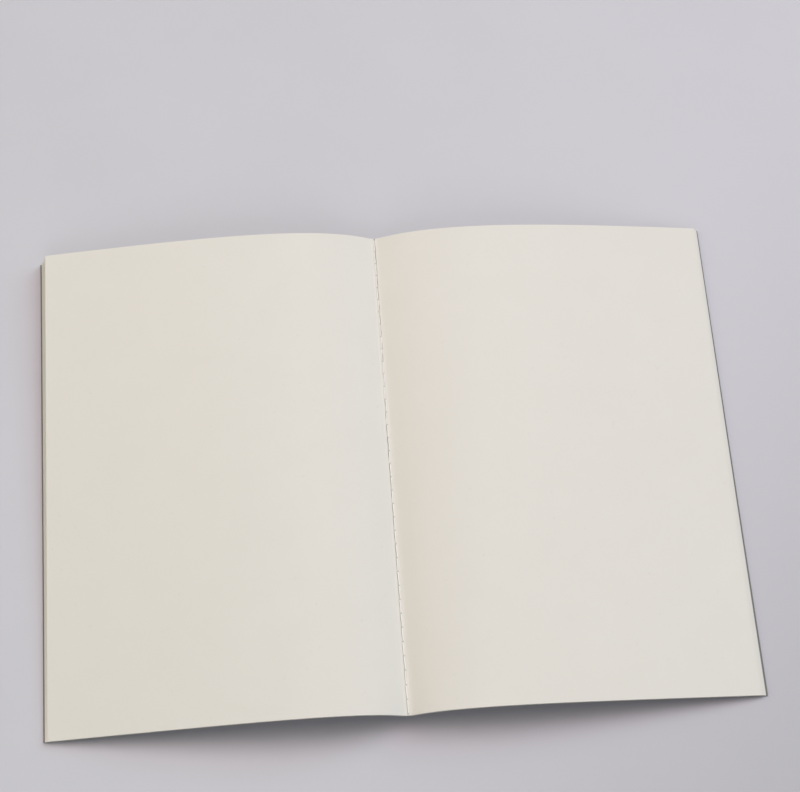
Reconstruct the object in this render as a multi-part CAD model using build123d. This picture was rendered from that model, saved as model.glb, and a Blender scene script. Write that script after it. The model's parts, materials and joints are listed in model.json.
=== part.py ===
from build123d import *
import math
import os

# A thin sketchbook lying open at its centre spread. Eight sheets are folded once, nested into
# one section, and machine-sewn through the fold into a folded card cover. The book opens about
# one straight line that runs along the fold, from head to tail, just above the innermost sheet.
#
# Frame: X across the spread with the left page at -X, Y from tail to head, Z up. The origin is
# the bottom centre of the whole book as it lies open. Millimetres.
#
# Each sheet and the cover are cut at the fold into two flat plates and a narrow fold strip, which
# is where the real paper bends. Both halves of the book slope down from the fold to the table.

# Driving dimensions.
page_width = 148.0          # fold to fore edge of the innermost leaf
page_height = 210.0         # head to tail, the same for every sheet and the cover
sheet_count = 8             # folded sheets in the section
paper_thickness = 0.18
air_gap = 0.04              # between neighbouring sheets
cover_thickness = 0.35
slope_deg = 3.0             # how far each half dips from the fold to the table
axis_clearance = 0.10       # from the opening axis down to the innermost sheet
strip_half_width = 1.5      # from the opening axis out to where the plates start
strip_clearance = 0.10      # between a fold strip and the plates beside it
stitch_length = 5.8         # from one needle hole to the next
thread_thickness = 0.45
hole_across = 0.9           # a needle hole, across its flats
hole_sides = 8              # a needle tears a ragged hole, drawn here with flat sides
end_margin = 0.5            # the sewing stops this far from the head and the tail
knot_gap = 0.05             # between the two threads where they lock inside the fold

# Worked out from the driving dimensions.
sheet_pitch = paper_thickness + air_gap
creep = math.pi / 2 * sheet_pitch     # each sheet reaches this much further than the one inside it
cover_depth = axis_clearance + sheet_count * sheet_pitch
cover_reach = page_width + sheet_count * creep
outside_depth = cover_depth + cover_thickness
slope = math.radians(slope_deg)
axis_height = cover_reach * math.sin(slope) + outside_depth * math.cos(slope)
stitch_count = int((page_height - 2 * end_margin) // stitch_length)
seam_length = stitch_count * stitch_length
hole_places = [stitch_length * i - seam_length / 2 for i in range(stitch_count + 1)]

LEFT = -1
RIGHT = 1


def sheet_depth(sheet):
    """Depth of a sheet's upper face below the opening axis. Sheet 1 is the innermost."""
    return axis_clearance + (sheet - 1) * sheet_pitch


def sheet_reach(sheet):
    """Distance from the opening axis to a sheet's fore edge."""
    return page_width + (sheet - 1) * creep


def half_plate(side, depth, reach, thickness):
    """A flat plate on one side of the fold, from the fold strip out to its fore edge."""
    width = reach - strip_half_width
    flat = Box(width, page_height, thickness, align=(Align.CENTER, Align.CENTER, Align.MAX))
    placed = Pos(side * (strip_half_width + width / 2), 0, -depth) * flat
    return Pos(0, 0, axis_height) * Rot(0, side * slope_deg, 0) * placed


def strip_width(depth, thickness):
    """Full width of a fold strip that clears the lower inner edges of the plates beside it."""
    plate_edge = strip_half_width * math.cos(slope) - (depth + thickness) * math.sin(slope)
    return 2 * (plate_edge - strip_clearance)


def needle_holes(depth, thickness):
    """The cutters for the row of needle holes through one fold strip."""
    outline = RegularPolygon(hole_across / 2, hole_sides, major_radius=False)
    cutter = extrude(outline, amount=thickness * 3)
    low = axis_height - depth - thickness * 2
    return [Pos(0, place, low) * cutter for place in hole_places]


def fold_strip(depth, thickness):
    """The narrow strip along the fold, level and pierced by the needle."""
    flat = Box(strip_width(depth, thickness), page_height, thickness,
               align=(Align.CENTER, Align.CENTER, Align.MAX))
    return Pos(0, 0, axis_height - depth) * flat - needle_holes(depth, thickness)


def seam_thread(face_depth, outward, leg_length):
    """One sewing thread: a run of stitches on a face and a leg down each needle hole.

    outward is +1 for the thread on the inner face and -1 for the one on the outer face.
    """
    towards = Align.MIN if outward > 0 else Align.MAX
    inwards = Align.MAX if outward > 0 else Align.MIN
    face_height = axis_height - face_depth
    run = Box(thread_thickness, seam_length + thread_thickness, thread_thickness,
              align=(Align.CENTER, Align.CENTER, towards))
    leg = Box(thread_thickness, thread_thickness, leg_length,
              align=(Align.CENTER, Align.CENTER, inwards))
    legs = [Pos(0, place, face_height) * leg for place in hole_places]
    return Pos(0, 0, face_height) * run + legs


def write(shape, node):
    """Write one node's solids."""
    export_step(shape, os.path.join("parts", node + ".step"))


os.makedirs("parts", exist_ok=True)

# The card cover: two panels and the strip that folds between them.
write(half_plate(LEFT, cover_depth, cover_reach, cover_thickness), "front_cover")
write(half_plate(RIGHT, cover_depth, cover_reach, cover_thickness), "back_cover")
write(fold_strip(cover_depth, cover_thickness), "cover_spine")

# The section: each folded sheet is a left leaf, a right leaf and the strip that folds.
for sheet in range(1, sheet_count + 1):
    depth = sheet_depth(sheet)
    reach = sheet_reach(sheet)
    write(half_plate(LEFT, depth, reach, paper_thickness), f"leaf_left_{sheet}")
    write(half_plate(RIGHT, depth, reach, paper_thickness), f"leaf_right_{sheet}")
    write(fold_strip(depth, paper_thickness), f"sheet_fold_{sheet}")

# The lockstitch seam: the inside and outside threads meet halfway through the fold.
seam_leg = (outside_depth - axis_clearance - knot_gap) / 2
write(seam_thread(axis_clearance, 1, seam_leg), "inside_thread")
write(seam_thread(outside_depth, -1, seam_leg), "outside_thread")
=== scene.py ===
import json
import math

import bpy
import numpy as np
from mathutils import Matrix, Vector


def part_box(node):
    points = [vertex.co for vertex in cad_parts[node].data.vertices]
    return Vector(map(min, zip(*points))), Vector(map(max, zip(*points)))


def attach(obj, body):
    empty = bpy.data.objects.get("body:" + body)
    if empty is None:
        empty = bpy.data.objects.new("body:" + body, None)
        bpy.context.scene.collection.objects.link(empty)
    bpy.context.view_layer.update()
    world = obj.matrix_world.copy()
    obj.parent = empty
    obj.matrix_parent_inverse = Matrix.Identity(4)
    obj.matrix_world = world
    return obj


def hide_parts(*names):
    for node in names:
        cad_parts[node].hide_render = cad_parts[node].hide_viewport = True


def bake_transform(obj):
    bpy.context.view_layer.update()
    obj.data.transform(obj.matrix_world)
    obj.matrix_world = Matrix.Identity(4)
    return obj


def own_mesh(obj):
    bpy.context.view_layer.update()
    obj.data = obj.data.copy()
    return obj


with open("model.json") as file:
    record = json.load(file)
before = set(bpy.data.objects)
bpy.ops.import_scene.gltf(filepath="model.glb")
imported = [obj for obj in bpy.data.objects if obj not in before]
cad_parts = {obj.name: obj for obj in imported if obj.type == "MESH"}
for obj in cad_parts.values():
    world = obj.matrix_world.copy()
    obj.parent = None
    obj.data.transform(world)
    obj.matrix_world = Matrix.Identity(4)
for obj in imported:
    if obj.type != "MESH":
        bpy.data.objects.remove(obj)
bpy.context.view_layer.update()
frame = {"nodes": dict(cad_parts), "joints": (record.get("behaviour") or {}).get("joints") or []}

# ---- The folded sheets ---------------------------------------------------------------------------
# Eight sheets of cream drawing paper are each folded once and nested into one section. The fold of
# each sheet is a narrow strip, and its two leaves spring up from it and come down to the table, a
# little higher and looser at the head. Paper is bent here, never stretched across its width.

closing = next(joint for joint in frame["joints"] if joint["name"] == "close_front_cover")
fold_line_height = closing["pos_m"][2]
sheet_count = sum(name.startswith("leaf_left_") for name in frame["nodes"])
page_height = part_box("leaf_left_1")[1][1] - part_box("leaf_left_1")[0][1]
half_slope = math.radians(abs(closing["range_deg"][0]) - 90)
seam_half = 0.0006
first_depth = fold_line_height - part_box("sheet_fold_1")[1][2]
sheet_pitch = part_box("sheet_fold_1")[1][2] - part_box("sheet_fold_2")[1][2]
paper_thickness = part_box("sheet_fold_1")[1][2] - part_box("sheet_fold_1")[0][2]
cover_depth = fold_line_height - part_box("cover_spine")[1][2]
cover_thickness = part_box("cover_spine")[1][2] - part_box("cover_spine")[0][2]
cover_reach = (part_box("back_cover")[1][0] + cover_depth * math.sin(half_slope)) / math.cos(half_slope)
sheet_creep = math.pi / 2 * sheet_pitch
page_width = cover_reach - sheet_count * sheet_creep
step_skew = {-1: 0.30, 1: -0.10}

# How the spread lies, each as (tail, head): the slope beside the fold, the distance in which it
# eases off, and how far the leaves stand apart at the fore edge.
rise = {-1: (0.785, 0.585), 1: (0.73, 0.48)}
ease = {-1: (0.0233, 0.0319), 1: (0.0238, 0.0359)}
spring = {-1: (0.0, 0.0070), 1: (0.0, 0.0008)}
fold_ease = 0.0008
table_clearance = 0.0005
cockle_height = 0.00010
cockle_seed = 0.7


def along(pair, head):
    """A value that runs evenly from its tail amount to its head amount."""
    return pair[0] + (pair[1] - pair[0]) * head


def bent_sheet(side, depth, reach, beyond=(0, 0), rows=49, columns=97):
    """Grid of points of one bent leaf or cover panel, as (rows, columns, 3).

    The sine of the leaf's slope starts level at the fold strip, climbs within a millimetre or two to
    its full amount, and then eases exponentially to the amount that brings the fore edge down to its
    height. Height is the slope's exact integral and the way across is the integral of its cosine, so
    the length across the leaf stays true. The sheet below lies a depth further down the normal, and
    the gap between sheets opens with the square of the way across. A piece that reaches past the
    innermost leaf does so unevenly, by the side's step skew, and by what beyond adds (tail, head).
    """
    head = np.linspace(0, 1, rows)[:, None]
    across = np.linspace(0, 1, columns)[None, :] ** 1.7
    skew = 1 + step_skew[side] * (2 * head - 1)
    length = page_width - seam_half + (reach - page_width) * skew + along(beyond, head)
    way = length * across
    slope, fade, loose = along(rise[side], head), along(ease[side], head), along(spring[side], head)
    start = fold_line_height - first_depth
    full = page_width - seam_half
    settle = fade * (1 - np.exp(-full / fade))
    end_height = cover_depth + cover_thickness + loose + table_clearance
    final = (end_height - start - slope * (settle - fold_ease)) / (full - settle)
    sine = final * (1 - np.exp(-way / fold_ease)) + (slope - final) * (
        np.exp(-way / fade) - np.exp(-way / fold_ease))
    height = (start + final * way + (slope - final) * fade * (1 - np.exp(-way / fade))
              - slope * fold_ease * (1 - np.exp(-way / fold_ease)))
    cosine = np.sqrt(1 - sine ** 2)
    steps = np.diff(way, axis=1) * (cosine[:, 1:] + cosine[:, :-1]) / 2
    out = seam_half + np.concatenate([np.zeros((rows, 1)), np.cumsum(steps, axis=1)], axis=1)
    drop = depth - first_depth
    gap = loose * (drop / cover_depth) * (way / full) ** 2
    points = np.empty((rows, columns, 3))
    points[..., 0] = side * (out + drop * sine)
    points[..., 1] = (head - 0.5) * page_height
    points[..., 2] = height - drop * cosine - gap
    return points


def cockle(points, side):
    """Lifts a leaf in faint, broad waves that fade out at the fold: two crossed sine waves."""
    x, y = points[..., 0], points[..., 1]
    seed = side * cockle_seed
    wave = np.sin(x * 31 + seed * 2.1) * np.sin(y * 23 + seed) + 0.6 * np.sin(y * 47 - x * 19 + seed * 3.7)
    fade = np.clip((np.abs(x) - 0.01) / 0.06, 0, 1) ** 2
    points[..., 2] += cockle_height * wave * fade
    return points


def surface(name, points, thickness):
    """A sheet from a grid of points, facing up and thickened downwards, with crisp trimmed edges."""
    rows, columns = points.shape[:2]
    index = np.arange(rows * columns).reshape(rows, columns)
    corners = np.stack([index[:-1, :-1], index[:-1, 1:], index[1:, 1:], index[1:, :-1]], axis=-1)
    if points[0, -1, 0] < points[0, 0, 0]:
        corners = corners[..., ::-1]
    mesh = bpy.data.meshes.new(name)
    mesh.from_pydata(points.reshape(-1, 3), [], corners.reshape(-1, 4))
    mesh.shade_smooth()
    ends = np.empty(len(mesh.edges) * 2, dtype=np.int32)
    mesh.edges.foreach_get("vertices", ends)
    row, column = np.divmod(ends.reshape(-1, 2), columns)
    rim = np.isin(row, (0, rows - 1)) & (row == row[:, ::-1])
    rim |= np.isin(column, (0, columns - 1)) & (column == column[:, ::-1])
    sharp = mesh.attributes.new("sharp_edge", "BOOLEAN", "EDGE")
    sharp.data.foreach_set("value", rim.all(axis=1))
    piece = bpy.data.objects.new(name, mesh)
    bpy.context.scene.collection.objects.link(piece)
    wall = piece.modifiers.new("thickness", "SOLIDIFY")
    wall.thickness = thickness
    wall.offset = -1
    return piece


def lie_flat(piece, side, depth):
    """Gives a bent piece a mesh of its own; the normal and seat at its depth in the stack are worked out
    but not used.
    """
    normal = Vector((side * math.sin(half_slope), 0, math.cos(half_slope)))
    seat = Vector((0, 0, fold_line_height)) - normal * depth
    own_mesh(piece)


class Tone:
    """A value on its way through a material's nodes. Arithmetic on it adds Math nodes."""

    def __init__(self, tree, socket=None):
        self.tree = tree
        self.socket = socket

    def node(self, kind, settings=None, sockets=None, output=0):
        """Adds any node: its settings first, then a value or a link for each named socket."""
        made = self.tree.nodes.new(kind)
        for name, value in (settings or {}).items():
            setattr(made, name, value)
        for name, value in (sockets or {}).items():
            if isinstance(value, Tone):
                self.tree.links.new(value.socket, made.inputs[name])
            else:
                made.inputs[name].default_value = value
        return Tone(self.tree, made.outputs[output])

    def work_out(self, operation, first, second):
        """Adds one Math node."""
        return self.node("ShaderNodeMath", {"operation": operation}, {0: first, 1: second})

    def __add__(self, other):
        return self.work_out("ADD", self, other)

    def __radd__(self, other):
        return self.work_out("ADD", other, self)

    def __sub__(self, other):
        return self.work_out("SUBTRACT", self, other)

    def __rsub__(self, other):
        return self.work_out("SUBTRACT", other, self)

    def __mul__(self, other):
        return self.work_out("MULTIPLY", self, other)

    def __rmul__(self, other):
        return self.work_out("MULTIPLY", other, self)


def begin(name):
    """A new material, with its shader, and a Tone to draw its nodes from."""
    material = bpy.data.materials.new(name)
    material.use_nodes = True
    shader = material.node_tree.nodes["Principled BSDF"]
    return material, shader, Tone(material.node_tree)


def feed(shader, socket, value):
    """Links a worked-out value to one of the shader's own sockets."""
    value.tree.links.new(value.socket, shader.inputs[socket])


def speckle(tone, place, scale, detail=3.0, rough=0.55):
    """Noise from 0 to 1 whose grains are about one part in scale of a metre."""
    return tone.node("ShaderNodeTexNoise", None,
                     {"Vector": place, "Scale": scale, "Detail": detail, "Roughness": rough})


def blend_colours(tone, mask, low, high):
    """A colour that goes from low to high with the mask."""
    return tone.node("ShaderNodeMix", {"data_type": "RGBA"},
                     {"Factor": mask, 6: (*low, 1) if isinstance(low, tuple) else low,
                      7: (*high, 1) if isinstance(high, tuple) else high}, output=2)


paper_cream = (0.722, 0.700, 0.640)
paper_light = (0.758, 0.738, 0.682)
paper_fleck = (0.600, 0.560, 0.480)
# Painted shade: the dark colour given to the needle holes and the crease, where shade falls.
paper_hole_shade = (0.10, 0.09, 0.075)


def drawing_paper(name, pierced=False):
    """Uncoated cream paper: cloudy fibre formation, a few pale flecks, and a fine felt tooth."""
    material, shader, tone = begin(name)
    place = tone.node("ShaderNodeTexCoord", output=3)
    cloud = speckle(tone, place, 55, 4.0, 0.6)
    fibre = speckle(tone, place, 900, 4.0, 0.65)
    grain = speckle(tone, place, 3200, 2.0, 0.5)
    fleck = tone.node("ShaderNodeMapRange", None,
                      {"Value": speckle(tone, place, 420, 1.0), "From Min": 0.70, "From Max": 0.80,
                       "To Max": 0.14})
    colour = blend_colours(tone, cloud * 0.7 + fibre * 0.3, paper_cream, paper_light)
    colour = blend_colours(tone, fleck, colour, paper_fleck)
    # Painted shade: the needle holes and the crease beside the thread are darkened where shade falls in
    # them.
    if pierced:
        hole_shade_mask = tone.node("ShaderNodeAttribute", {"attribute_name": "pierced"}, output=2)
        colour = blend_colours(tone, hole_shade_mask * 0.8, colour, paper_hole_shade)
    feed(shader, "Base Color", colour)
    feed(shader, "Roughness", 0.80 + 0.14 * fibre)
    tooth = fibre * 0.6 + grain * 0.4
    bump = tone.node("ShaderNodeBump", None, {"Strength": 0.35, "Distance": 0.00006, "Height": tooth})
    feed(shader, "Normal", bump)
    shader.inputs["Specular IOR Level"].default_value = 0.25
    return material


leaf_paper = drawing_paper("cream_drawing_paper")

for number in range(1, sheet_count + 1):
    depth = first_depth + (number - 1) * sheet_pitch
    reach = page_width + (number - 1) * sheet_creep
    for side, word in ((-1, "left"), (1, "right")):
        points = cockle(bent_sheet(side, depth, reach), side)
        leaf = surface(f"sheet_{number}_{word}_leaf", points, paper_thickness)
        leaf.data.materials.append(leaf_paper)
        lie_flat(leaf, side, depth)
        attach(leaf, f"leaf_{word}_{number}")
        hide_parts(f"leaf_{word}_{number}")

# ---- The folds of the sheets ---------------------------------------------------------------------
# The strip along the middle of each sheet is where the paper turns. The needle has gone through it
# every few millimetres, and on the innermost sheet the pull of the thread draws each hole down into a
# dimple.
# Shade is painted dark into every needle hole, and into the crease beside the thread on the innermost
# sheet.

inside_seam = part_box("inside_thread")
thread_thickness = inside_seam[1][0] - inside_seam[0][0]
seam_length = inside_seam[1][1] - inside_seam[0][1] - thread_thickness
stitch_length = 0.0058
stitch_count = round(seam_length / stitch_length)
hole_radius = 0.0003
dimple_depth = 0.00015
crease_depth = 0.00012
crease_radius = 0.00013


def from_hole(y):
    """Distance along the fold to the nearest needle hole."""
    turns = (y + seam_length / 2) / stitch_length
    near = np.clip(np.round(turns), 0, stitch_count)
    return (turns - near) * stitch_length


def fold_surface(side, depth, dimple=0, crease=0):
    """Grid of half a fold strip, and a mask from 0 to 1 of the shade painted at each hole and in the
    crease.

    The strip is level across. Each hole dishes it by a round bell of the dimple's depth. The crease
    is a narrow bell-shaped groove beside the thread, on its right at the head and on its left below
    that, and it gets fainter towards the tail.
    """
    rows = 24 * stitch_count + 1 if dimple else 12 * stitch_count + 1
    columns = 17 if dimple else 13
    x = side * np.linspace(0, seam_half, columns)[None, :]
    y = np.linspace(-0.5, 0.5, rows)[:, None] * page_height
    bell = np.exp(-(np.hypot(x, from_hole(y)) / hole_radius) ** 2)
    head = y / page_height + 0.5
    wander = 0.00031 * np.tanh(8 * (head - 0.68)) + 0.00008 * np.sin(y * 2 * math.pi / stitch_length)
    groove = np.exp(-((x - wander) / crease_radius) ** 2) * np.clip(0.45 + head, 0, 1)
    shut = 1 - (x / seam_half) ** 2
    points = np.empty((rows, columns, 3))
    points[..., 0] = x
    points[..., 1] = y
    points[..., 2] = fold_line_height - depth - (dimple * bell + crease * groove) * shut
    # The mask is painted shade: round spots at every hole, and the crease where there is one.
    return points, np.maximum(bell * 0.7, groove if crease else 0)


def turn_with_fold(piece, side):
    """Bakes half a strip's placement into its mesh, the same on either side; the strip is not turned."""
    level = fold_line_height - cover_depth / 2
    if side > 0:
        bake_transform(piece)
    else:
        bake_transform(piece)


def note_holes(piece, hollow):
    """Keeps the mask of painted shade at the holes and crease as a point attribute for the material."""
    mask = piece.data.attributes.new("pierced", "FLOAT", "POINT")
    mask.data.foreach_set("value", hollow.astype(np.float32).ravel())


fold_paper = drawing_paper("cream_paper_at_the_fold", pierced=True)

for number in range(1, sheet_count + 1):
    inner = number == 1
    depth = first_depth + (number - 1) * sheet_pitch
    for side, word in ((-1, "left"), (1, "right")):
        points, hollow = fold_surface(side, depth, dimple_depth * inner, crease_depth * inner)
        strip = surface(f"sheet_{number}_{word}_fold", points, paper_thickness)
        note_holes(strip, hollow)
        strip.data.materials.append(fold_paper)
        turn_with_fold(strip, side)
        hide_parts(f"sheet_fold_{number}")

# ---- The cover -----------------------------------------------------------------------------------
# One piece of smooth warm-grey card, dyed through, is folded round the section and trimmed with it.
# Its two panels follow the arch of the leaves and end a little outside them. Handling has rubbed the
# trimmed edges paler.
# Shade is painted near-black into the needle holes along the card's fold.

card_grey = (0.150, 0.143, 0.132)
card_pale = (0.172, 0.165, 0.153)
card_worn = (0.300, 0.288, 0.268)
# Painted shade: the near-black colour given to the needle holes in the card, where shade falls.
card_hole_shade = (0.03, 0.03, 0.028)


def cover_card(name, pierced=False):
    """Calendered card: soft cloudy tone, a fine grain, and paler rubbed fore edges."""
    material, shader, tone = begin(name)
    place = tone.node("ShaderNodeTexCoord", output=3)
    cloud = speckle(tone, place, 40, 5.0, 0.6)
    grain = speckle(tone, place, 2200, 3.0, 0.6)
    colour = blend_colours(tone, cloud * 0.6 + grain * 0.4, card_grey, card_pale)
    sideways = tone.node("ShaderNodeSeparateXYZ", None, {"Vector": place})
    from_fold = tone.node("ShaderNodeMath", {"operation": "ABSOLUTE"}, {0: sideways})
    rubbed = tone.node("ShaderNodeMapRange", None,
                       {"Value": from_fold + 0.0015 * cloud, "From Min": cover_reach - 0.0045,
                        "From Max": cover_reach - 0.0005, "To Max": 0.35})
    colour = blend_colours(tone, rubbed * speckle(tone, place, 500, 3.0), colour, card_worn)
    # Painted shade: the needle holes in the card at the fold are darkened where shade falls in them.
    if pierced:
        hole_shade_mask = tone.node("ShaderNodeAttribute", {"attribute_name": "pierced"}, output=2)
        colour = blend_colours(tone, hole_shade_mask * 0.8, colour, card_hole_shade)
    feed(shader, "Base Color", colour)
    feed(shader, "Roughness", 0.56 + 0.2 * grain)
    bump = tone.node("ShaderNodeBump", None, {"Strength": 0.3, "Distance": 0.00004, "Height": grain})
    feed(shader, "Normal", bump)
    shader.inputs["Specular IOR Level"].default_value = 0.4
    return material


# How far each panel sticks out past the outermost leaf's own step, as (tail, head).
overhang = {-1: (0.0004, 0.0004), 1: (0.0006, 0.0002)}
panel_card = cover_card("warm_grey_cover_card")

for side, node in ((-1, "front_cover"), (1, "back_cover")):
    points = cockle(bent_sheet(side, cover_depth, cover_reach, overhang[side]), side)
    panel = surface(f"{node}_panel", points, cover_thickness)
    panel.data.materials.append(panel_card)
    lie_flat(panel, side, cover_depth)
    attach(panel, node)
    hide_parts(node)

fold_card = cover_card("warm_grey_card_at_the_fold", pierced=True)
for side, word in ((-1, "front"), (1, "back")):
    points, hollow = fold_surface(side, cover_depth)
    spine = surface(f"cover_{word}_fold", points, cover_thickness)
    note_holes(spine, hollow)
    spine.data.materials.append(fold_card)
    turn_with_fold(spine, side)
    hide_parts("cover_spine")

# ---- The sewing ----------------------------------------------------------------------------------
# Two cream cotton threads make a lockstitch down the fold, one inside on the innermost sheet and one
# outside on the cover. Each is three plies twisted together. It lies along the fold and dips into
# every needle hole, where the two threads hold each other.

twist_length = 0.0011
ply_radius = 0.000125
ply_offset = 0.000095
stitch_steps = 28
dip_radius = 0.00032
dip_depth = 0.0009
crown_height = 0.00005
thread_colour = (0.90, 0.885, 0.85)
thread_light = (0.97, 0.96, 0.93)


def thread_path(face, outward, seed):
    """Middle line of one thread: level runs with a bell-shaped dip at every hole.

    The points gather at the holes, where the line bends most. Two slow sine waves take it a little
    to the left and right.
    """
    turn = np.linspace(0, stitch_count, stitch_count * stitch_steps + 1)
    y = (turn - 0.9 * np.sin(2 * math.pi * turn) / (2 * math.pi)) * stitch_length - seam_length / 2
    dip = np.exp(-(from_hole(y) / dip_radius) ** 2)
    crown = crown_height * np.sin(math.pi * turn) ** 2
    z = face + outward * (thread_thickness / 2 + crown - dip_depth * dip)
    x = 0.00010 * np.sin(turn * 2.3 + seed) + 0.00006 * np.sin(turn * 6.1 + seed * 2)
    return np.stack([x, y, z], axis=-1)


def twisted_thread(name, path, plies=3, sides=7):
    """Plies as tubes on helices about a path that keeps to one upright plane.

    Each ply's centre goes round the path once in every twist length, and its ring of points lies in
    the plane across the path.
    """
    step = np.gradient(path, axis=0)
    step /= np.linalg.norm(step, axis=1, keepdims=True)
    flat = np.array([1.0, 0.0, 0.0]) - step * step[:, :1]
    flat /= np.linalg.norm(flat, axis=1, keepdims=True)
    up = np.cross(flat, step)
    run = np.concatenate([[0], np.cumsum(np.linalg.norm(np.diff(path, axis=0), axis=1))])
    vertices, faces, ends = [], [], []
    ring = np.linspace(0, 2 * math.pi, sides, endpoint=False)
    for ply in range(plies):
        turn = 2 * math.pi * (run / twist_length + ply / plies)
        centre = path + ply_offset * (flat * np.cos(turn)[:, None] + up * np.sin(turn)[:, None])
        round_it = flat[:, None] * np.cos(ring)[None, :, None] + up[:, None] * np.sin(ring)[None, :, None]
        vertices.append((centre[:, None] + ply_radius * round_it).reshape(-1, 3))
        index = np.arange(len(path) * sides).reshape(len(path), sides) + ply * len(path) * sides
        ahead = np.roll(index, -1, axis=1)
        quads = np.stack([index[:-1], ahead[:-1], ahead[1:], index[1:]], axis=-1)
        faces += quads.reshape(-1, 4).tolist()
        ends += [index[0, ::-1].tolist(), index[-1].tolist()]
    mesh = bpy.data.meshes.new(name)
    mesh.from_pydata(np.concatenate(vertices), [], faces + ends)
    mesh.shade_smooth()
    thread = bpy.data.objects.new(name, mesh)
    bpy.context.scene.collection.objects.link(thread)
    return thread


def cotton():
    """Cream mercerised cotton: fine hairs of lighter and darker fibre and a soft sheen."""
    material, shader, tone = begin("cream_cotton_thread")
    place = tone.node("ShaderNodeTexCoord", output=3)
    fibre = speckle(tone, place, 9000, 3.0, 0.6)
    drift = speckle(tone, place, 150, 2.0)
    colour = blend_colours(tone, fibre * 0.7 + drift * 0.3, thread_colour, thread_light)
    feed(shader, "Base Color", colour)
    feed(shader, "Roughness", 0.55 + 0.3 * fibre)
    bump = tone.node("ShaderNodeBump", None, {"Strength": 0.4, "Distance": 0.00003, "Height": fibre})
    feed(shader, "Normal", bump)
    shader.inputs["Sheen Weight"].default_value = 0.3
    return material


thread_cotton = cotton()
outer_face = fold_line_height - cover_depth - cover_thickness
for node, face, outward, seed in (("inside_thread", fold_line_height - first_depth, 1, 0.4),
                                  ("outside_thread", outer_face, -1, 1.9)):
    thread = twisted_thread(node + "_plies", thread_path(face, outward, seed))
    thread.data.materials.append(thread_cotton)
    if outward > 0:
        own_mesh(thread)
    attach(thread, "spine")
    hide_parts(node)

# ---- The table, the light and the camera ---------------------------------------------------------
# The book lies on a plain pale table. A large cool light stands beyond it on the right, a small warm
# lamp hangs overhead, and two broad ones stand on the left and near sides. Shade is painted into the
# table's colour towards the right near corner.

table_half = 2.0
table_level = -0.0002
table_low = (0.555, 0.553, 0.590)
table_high = (0.600, 0.598, 0.636)
# The colour of the shade painted towards the right near corner of the table.
table_painted_shade = (0.445, 0.443, 0.472)

table_corners = [(-1, -1), (1, -1), (1, 1), (-1, 1)]
table_mesh = bpy.data.meshes.new("table_top")
table_mesh.from_pydata([(x * table_half, y * table_half, table_level) for x, y in table_corners], [],
                       [(0, 1, 2, 3)])
table_top = bpy.data.objects.new("table_top", table_mesh)
bpy.context.scene.collection.objects.link(table_top)
table_finish, shader, tone = begin("pale_table")
place = tone.node("ShaderNodeTexCoord", output=3)
mottle = speckle(tone, place, 14, 5.0, 0.6)
rightward = tone.node("ShaderNodeSeparateXYZ", None, {"Vector": place})
farther = tone.node("ShaderNodeSeparateXYZ", None, {"Vector": place}, output=1)
# Painted shade: the table's colour darkens towards the right near corner.
painted_corner_shade = tone.node("ShaderNodeMapRange", {"interpolation_type": "SMOOTHSTEP"},
                   {"Value": rightward - 0.8 * farther + 0.05 * mottle,
                    "From Min": 0.05, "From Max": 0.40})
colour = blend_colours(tone, mottle, table_low, table_high)
feed(shader, "Base Color", blend_colours(tone, painted_corner_shade, colour, table_painted_shade))
feed(shader, "Roughness", 0.5 + 0.2 * mottle)
table_top.data.materials.append(table_finish)

room = bpy.data.worlds.new("pale_room")
room.use_nodes = True
room.node_tree.nodes["Background"].inputs["Color"].default_value = (1.0, 1.0, 1.0, 1)
room.node_tree.nodes["Background"].inputs["Strength"].default_value = 0.21
bpy.context.scene.world = room


def soft_light(name, place, size, energy, colour):
    """A square area light that faces the book."""
    light = bpy.data.lights.new(name, "AREA")
    light.size = size
    light.energy = energy
    light.color = colour
    lamp = bpy.data.objects.new(name, light)
    lamp.location = place
    lamp.rotation_euler = (-Vector(place)).to_track_quat("-Z", "Y").to_euler()
    bpy.context.scene.collection.objects.link(lamp)


soft_light("window", (2.6, 1.4, 2.6), 2.2, 58, (0.66, 0.985, 1.0))
soft_light("ceiling_lamp", (0.25, 0.3, 1.2), 0.8, 7.6, (1.0, 0.75, 0.82))
soft_light("left_wall", (-1.4, 0.3, 1.2), 1.0, 9.1, (0.96, 1.0, 0.735))
soft_light("near_wall", (0.0, -1.6, 1.4), 1.2, 6.8, (0.935, 0.95, 1.0))

lens = bpy.data.cameras.new("camera")
lens.sensor_width = 36
lens.lens = 72.61
lens.shift_x = 0.0260
lens.shift_y = -0.0664
camera = bpy.data.objects.new("camera", lens)
camera_place = Vector((-0.0333, -0.2011, 0.6624))
camera_aim = Vector((0.0019, 0.0770, -0.0460))
camera_roll = math.radians(3.600)
facing = (camera_aim - camera_place).to_track_quat("-Z", "Y").to_matrix().to_4x4()
camera.matrix_world = Matrix.Translation(camera_place) @ facing @ Matrix.Rotation(camera_roll, 4, "Z")
bpy.context.scene.collection.objects.link(camera)
bpy.context.scene.camera = camera
bpy.context.scene.view_settings.view_transform = "Standard"
